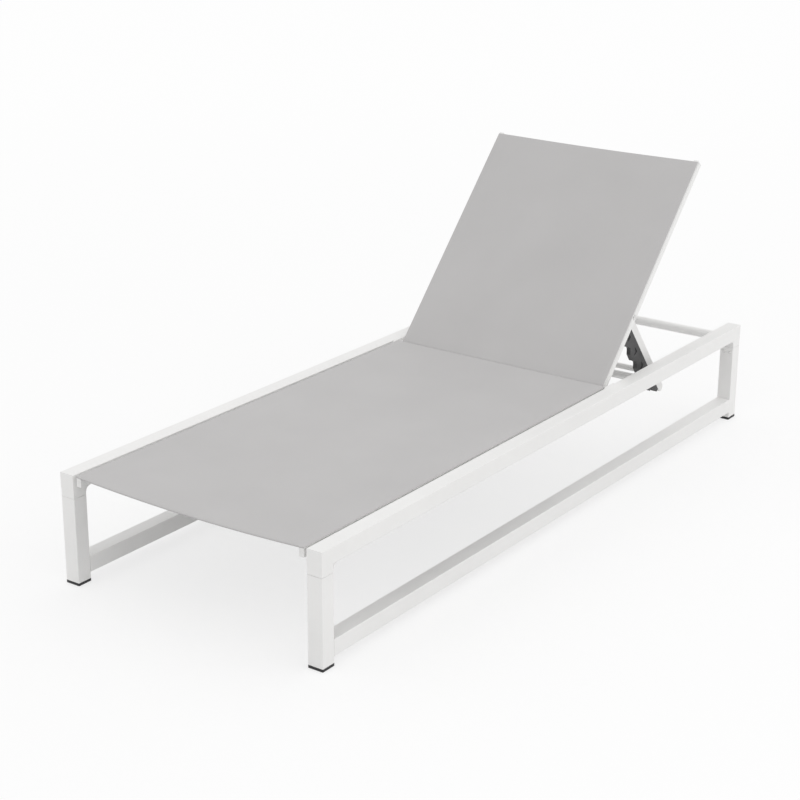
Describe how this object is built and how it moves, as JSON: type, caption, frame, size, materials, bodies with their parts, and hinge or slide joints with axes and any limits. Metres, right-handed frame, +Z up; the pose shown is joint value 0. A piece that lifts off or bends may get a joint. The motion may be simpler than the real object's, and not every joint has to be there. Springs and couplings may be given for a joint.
{
  "type": "chaise lounge",
  "caption": "Low outdoor chaise lounge with a white tube frame, grey mesh sling seat and a backrest tilted up on toothed racks.",
  "frame": {"origin": "on the floor, midway along and across the lounger", "axes": "+X across, towards the side that the picture shows nearer, +Y from the foot end to the head end, +Z up"},
  "size_m": [0.776, 2, 0.8057],
  "materials": {
    "frame_paint": "satin powder coat",
    "dark_frame": "satin powder coat",
    "mesh_fabric": "woven mesh",
    "black_plastic": "moulded",
    "white_plastic": "moulded",
    "cord_plastic": "extruded",
    "steel": "plain"
  },
  "bodies": {
    "frame": {"left_top_rail": "frame_paint", "right_top_rail": "frame_paint", "left_bottom_rail": "frame_paint", "right_bottom_rail": "frame_paint", "left_front_leg_top": "frame_paint", "right_front_leg_top": "frame_paint", "left_front_leg": "frame_paint", "right_front_leg": "frame_paint", "left_rear_leg_top": "frame_paint", "right_rear_leg_top": "frame_paint", "left_rear_leg": "frame_paint", "right_rear_leg": "frame_paint", "left_front_foot_cap": "black_plastic", "right_front_foot_cap": "black_plastic", "left_rear_foot_cap": "black_plastic", "right_rear_foot_cap": "black_plastic", "leg_inserts": "black_plastic", "leg_screws": "steel", "left_seat_rail": "frame_paint", "right_seat_rail": "frame_paint", "seat_rail_caps": "white_plastic", "seat_edge_cords": "cord_plastic", "seat_rail_bolts": "steel", "seat_rail_spacers": "white_plastic", "front_seat_bar": "frame_paint", "middle_seat_bar_1": "frame_paint", "middle_seat_bar_2": "frame_paint", "rear_seat_bar": "frame_paint", "seat_sling": "mesh_fabric", "left_hinge_bracket": "frame_paint", "right_hinge_bracket": "frame_paint", "hinge_bracket_screws": "steel", "hinge_pins": "steel", "support_bar": "frame_paint", "left_support_bar_holder": "black_plastic", "right_support_bar_holder": "black_plastic", "holder_screws": "steel", "rear_crossbar": "frame_paint", "rear_bar_sockets": "black_plastic"},
    "backrest": {"left_back_rail": "frame_paint", "right_back_rail": "frame_paint", "back_rail_caps": "white_plastic", "back_edge_cords": "cord_plastic", "back_lower_bar": "frame_paint", "back_middle_bar": "frame_paint", "back_top_bar": "frame_paint", "back_sling": "mesh_fabric", "hinge_bushes": "black_plastic", "pivot_bolts": "steel", "pivot_spacers": "white_plastic"},
    "prop": {"left_strut": "dark_frame", "right_strut": "dark_frame", "left_rack": "black_plastic", "right_rack": "black_plastic", "rack_screws": "steel", "strut_bushes": "black_plastic", "prop_tie_bar": "frame_paint"}
  },
  "joints": [
    {"name": "backrest_tilt", "type": "hinge", "parent": "frame", "child": "backrest", "pos_m": [0, 0.3035, 0.271], "axis": [1, 0, 0], "range_deg": [-47, 0]},
    {"name": "prop_fold", "type": "hinge", "parent": "backrest", "child": "prop", "pos_m": [0, 0.4549, 0.43336], "axis": [1, 0, 0], "range_deg": [0, 97.3]}
  ],
  "couplings": [
    {"joint": "prop_fold", "follows": "backrest_tilt", "ratio": -2.07}
  ]
}
